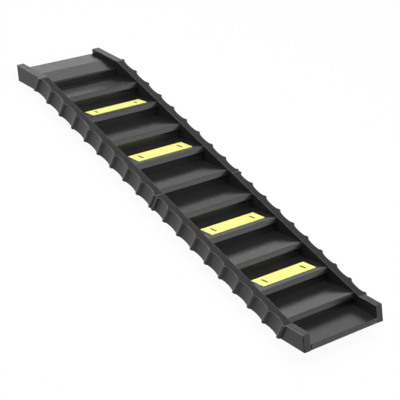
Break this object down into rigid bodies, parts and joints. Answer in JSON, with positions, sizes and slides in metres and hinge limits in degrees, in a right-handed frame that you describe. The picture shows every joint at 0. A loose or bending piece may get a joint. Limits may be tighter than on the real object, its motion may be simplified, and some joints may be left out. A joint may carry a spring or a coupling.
{
  "type": "folding dog ramp",
  "caption": "Folding dog ramp with moulded stepped halves, ribbed side rails and yellow grip strips, hinged under its middle seam to fold underside to underside.",
  "frame": {"origin": "middle of the part's bounding box at its lowest point, the lower corner of the landing", "axes": "+X down the ramp from the landing to the toe, +Y across it, +Z square to the main slope, out of the treads"},
  "size_m": [1.5516, 0.408, 0.1051],
  "materials": {
    "rail_plastic": "fine moulded grain, charcoal",
    "step_plastic": "fine moulded grain, dark grey",
    "grip_yellow": "matt pale yellow, high visibility",
    "hinge_steel": "zinc plated",
    "screw_steel": "zinc plated",
    "foot_rubber": "matt black"
  },
  "bodies": {
    "upper_half": {"upper_step_panel": "step_plastic", "upper_left_rail": "rail_plastic", "upper_right_rail": "rail_plastic", "grip_strip_1": "grip_yellow", "grip_strip_2": "grip_yellow", "upper_left_hinge_leaf": "hinge_steel", "upper_right_hinge_leaf": "hinge_steel", "left_hinge_pin": "hinge_steel", "right_hinge_pin": "hinge_steel", "upper_rail_screws": "screw_steel", "upper_hinge_screws": "screw_steel", "upper_rubber_feet": "foot_rubber"},
    "lower_half": {"lower_step_panel": "step_plastic", "lower_left_rail": "rail_plastic", "lower_right_rail": "rail_plastic", "grip_strip_3": "grip_yellow", "grip_strip_4": "grip_yellow", "lower_left_hinge_leaf": "hinge_steel", "lower_right_hinge_leaf": "hinge_steel", "lower_rail_screws": "screw_steel", "lower_hinge_screws": "screw_steel", "lower_rubber_feet": "foot_rubber"}
  },
  "joints": [
    {"name": "middle_fold", "type": "hinge", "parent": "upper_half", "child": "lower_half", "pos_m": [0.01309, 0, 0.02645], "axis": [0, 1, 0], "range_deg": [0, 180]}
  ]
}
